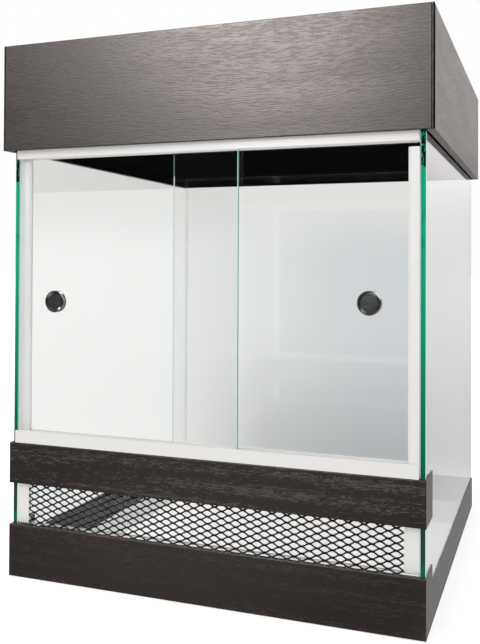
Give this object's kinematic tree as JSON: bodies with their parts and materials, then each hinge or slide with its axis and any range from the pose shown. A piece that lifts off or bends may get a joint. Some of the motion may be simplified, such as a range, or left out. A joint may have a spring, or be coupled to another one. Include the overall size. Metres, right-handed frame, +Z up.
{
  "type": "terrarium_cabinet",
  "caption": "Front-opening glass terrarium cabinet with two sliding glass doors, an expanded-metal front vent and a lift-off wood-grain hood",
  "frame": {"origin": "On the floor under the middle of the hood's outline, which is the middle of the bounding box's base", "axes": "+X to the right seen from the front, +Y to the back, +Z up; the doors face -Y"},
  "size_m": [0.5, 0.5102, 0.6235],
  "materials": {
    "clear_glass": "clear float glass with polished green edges",
    "black_glass": "black glass strip with ground edges",
    "silicone": "translucent silicone bead",
    "white_plastic": "satin white extruded plastic",
    "dark_laminate": "very dark brown wood-grain laminate, satin",
    "hood_laminate": "dark brown wood-grain laminate with a satin sheen",
    "painted_wood": "wood painted matt black",
    "black_mesh": "black powder coat, satin",
    "dark_chrome": "dark polished chrome",
    "foam_pad": "black adhesive foam"
  },
  "bodies": {
    "cabinet": {"back_pane": "clear_glass", "base_board": "dark_laminate", "base_return_left": "dark_laminate", "base_return_right": "dark_laminate", "base_skirt_back": "dark_laminate", "base_skirt_left": "dark_laminate", "base_skirt_right": "dark_laminate", "floor_pane": "clear_glass", "jamb_left": "white_plastic", "jamb_right": "white_plastic", "rail_pane": "clear_glass", "seam_back_left": "silicone", "seam_back_right": "silicone", "seam_floor_back": "silicone", "seam_floor_front": "silicone", "seam_floor_left": "silicone", "seam_floor_right": "silicone", "side_pane_left": "clear_glass", "side_pane_right": "clear_glass", "sill_pane": "clear_glass", "strip_board": "dark_laminate", "strip_return_left": "dark_laminate", "strip_return_right": "dark_laminate", "top_brace_back": "black_glass", "top_brace_front": "black_glass", "track_bottom": "white_plastic", "track_top": "white_plastic", "vent_bar_back": "black_mesh", "vent_bar_front": "black_mesh", "vent_bar_left": "black_mesh", "vent_bar_right": "black_mesh", "vent_mesh": "black_mesh", "vent_post_left": "white_plastic", "vent_post_right": "white_plastic", "vent_screen": "black_mesh"},
    "left_door": {"left_door_pane": "clear_glass", "left_knob_base": "dark_chrome", "left_knob_cap": "dark_chrome", "left_knob_pad": "foam_pad"},
    "right_door": {"right_door_pane": "clear_glass", "right_knob_base": "dark_chrome", "right_knob_cap": "dark_chrome", "right_knob_pad": "foam_pad"},
    "hood": {"hood_back": "hood_laminate", "hood_batten_left": "painted_wood", "hood_batten_right": "painted_wood", "hood_block_back_left": "painted_wood", "hood_block_back_right": "painted_wood", "hood_block_front_left": "painted_wood", "hood_block_front_right": "painted_wood", "hood_front": "hood_laminate", "hood_front_band_left": "hood_laminate", "hood_front_band_right": "hood_laminate", "hood_side_left": "hood_laminate", "hood_side_right": "hood_laminate", "hood_top": "hood_laminate"}
  },
  "joints": [
    {"name": "left_door_slide", "type": "slide", "parent": "cabinet", "child": "left_door", "axis": [1, 0, 0], "range_m": [0, 0.0635]},
    {"name": "right_door_slide", "type": "slide", "parent": "cabinet", "child": "right_door", "axis": [-1, 0, 0], "range_m": [0, 0.0635]},
    {"name": "hood_lift", "type": "slide", "parent": "cabinet", "child": "hood", "axis": [0, 0, 1], "range_m": [0, 0.13]}
  ]
}
